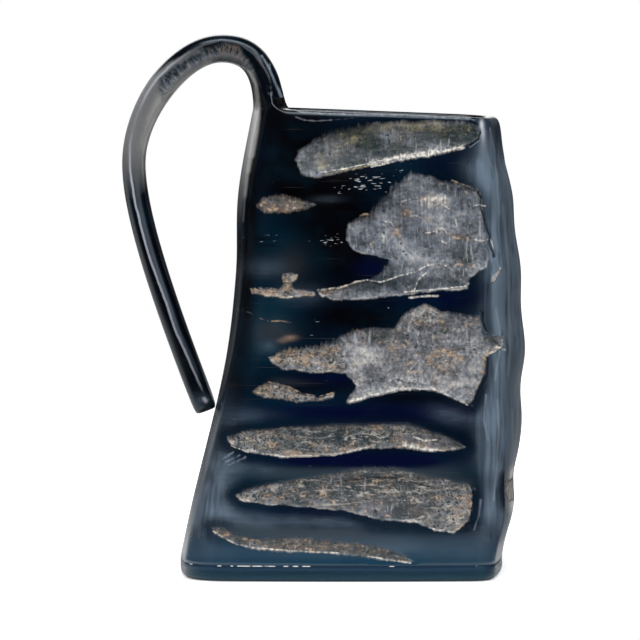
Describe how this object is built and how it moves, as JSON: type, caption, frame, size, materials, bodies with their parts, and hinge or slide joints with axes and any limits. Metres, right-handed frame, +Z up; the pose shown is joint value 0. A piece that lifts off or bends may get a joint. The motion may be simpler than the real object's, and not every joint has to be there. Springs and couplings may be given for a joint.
{
  "type": "horn drinking cup",
  "caption": "Tall flattened horn cup on a flat glued-in base, with a tongue of the same horn bent over from the rim into an open loop handle.",
  "frame": {"origin": "on the table under the cup, on the base's flat underside, midway between the front and back of the foot", "axes": "+X away from the handle towards the far side, +Y from the front face to the back, +Z up"},
  "size_m": [0.1212, 0.066, 0.1609],
  "materials": {
    "polished_horn": "polished black horn with unpolished grey-brown hollows",
    "base_horn": "polished black horn",
    "adhesive": "dull, dried adhesive",
    "sealant": "dull amber sealant"
  },
  "bodies": {
    "root": {"horn_body": "polished_horn", "floor_plate": "base_horn", "glue_line": "adhesive", "seal_bead": "sealant"}
  },
  "joints": []
}
